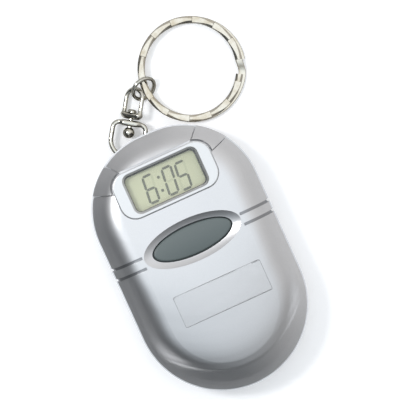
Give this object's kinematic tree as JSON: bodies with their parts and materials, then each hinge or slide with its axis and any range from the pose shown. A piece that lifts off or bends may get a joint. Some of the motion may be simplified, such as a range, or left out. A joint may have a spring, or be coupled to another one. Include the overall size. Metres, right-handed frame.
{
  "type": "talking clock",
  "caption": "Pebble-shaped talking clock with a display, an oval talk button and shoulder keys, on a swivel with a jump ring and a stamped split key ring.",
  "frame": {"origin": "middle of the flat back, on the battery door, halfway along and across the case", "axes": "+Z from the back to the display, +Y along the case to the key ring end, +X to the right as the display is read"},
  "size_m": [0.0526, 0.0923, 0.0162],
  "materials": {
    "case_silver": "satin metallic paint",
    "bezel_silver": "satin metallic paint",
    "clear_window": "clear polished",
    "display_glass": "grey-green reflective display",
    "contact_rubber": "matt",
    "board_green": "satin",
    "black_resin": "semi-gloss",
    "can_metal": "satin",
    "capacitor_sleeve": "gloss",
    "button_grey": "satin",
    "black_plastic": "satin",
    "steel": "plated",
    "foam_black": "matt foam",
    "magnet": "plated",
    "cone_film": "thin film",
    "copper": "enamelled wire",
    "lead_sleeve": "flexible sleeve",
    "cell_steel": "polished",
    "spring_metal": "plated spring strip",
    "nickel": "polished nickel"
  },
  "bodies": {
    "case": {"front_shell": "case_silver", "back_shell": "case_silver", "lcd_bezel": "bezel_silver", "lcd_lens": "clear_window", "lcd_panel": "display_glass", "zebra_strips": "contact_rubber", "circuit_board": "board_green", "chip_blob": "black_resin", "crystal": "can_metal", "capacitor": "capacitor_sleeve", "talk_pad": "contact_rubber", "left_switch": "black_plastic", "right_switch": "black_plastic", "board_screws": "steel", "case_screws": "steel", "speaker_gasket": "foam_black", "speaker_basket": "steel", "speaker_magnet": "magnet", "speaker_cone": "cone_film", "voice_coil": "copper", "speaker_leads": "lead_sleeve", "cell_left": "cell_steel", "cell_right": "cell_steel", "positive_contact": "spring_metal", "negative_contact": "spring_metal", "cell_bridge": "spring_metal", "battery_door": "case_silver", "door_screw": "steel"},
    "talk_button": {"talk_button": "button_grey"},
    "left_key": {"left_key": "case_silver"},
    "right_key": {"right_key": "case_silver"},
    "bail": {"bail": "nickel"},
    "swivel": {"stirrup": "nickel", "swivel_rivet": "nickel"},
    "jump_ring": {"jump_ring": "nickel"},
    "key_ring": {"key_ring": "nickel"}
  },
  "joints": [
    {"name": "talk_press", "type": "slide", "parent": "case", "child": "talk_button", "axis": [0, 0, -1], "range_m": [0, 0.0008], "stiffness_N_per_m": 600, "deforming": ["talk_pad"]},
    {"name": "right_key_press", "type": "slide", "parent": "case", "child": "right_key", "axis": [-0.766, -0.6428, 0], "range_m": [0, 0.0003], "stiffness_N_per_m": 800},
    {"name": "left_key_press", "type": "slide", "parent": "case", "child": "left_key", "axis": [0.766, -0.6428, 0], "range_m": [0, 0.0003], "stiffness_N_per_m": 800},
    {"name": "bail_swing", "type": "hinge", "parent": "case", "child": "bail", "pos_m": [-0.0045, 0.0305, 0.0031], "axis": [1, 0, 0], "range_deg": [-75, 15]},
    {"name": "swivel_spin", "type": "hinge", "parent": "bail", "child": "swivel", "pos_m": [-0.0045, 0.0347, 0.0031], "axis": [0.5556, 0.8315, 0], "continuous": true},
    {"name": "jump_ring_swing", "type": "hinge", "parent": "swivel", "child": "jump_ring", "pos_m": [0.00323, 0.04511, 0.00366], "axis": [0.3997, -0.6784, 0.6165], "range_deg": [-5, 85]},
    {"name": "key_ring_swing", "type": "hinge", "parent": "jump_ring", "child": "key_ring", "pos_m": [0.00492, 0.04452, 0.00258], "axis": [0, -1, 0], "range_deg": [-80, 30]}
  ]
}
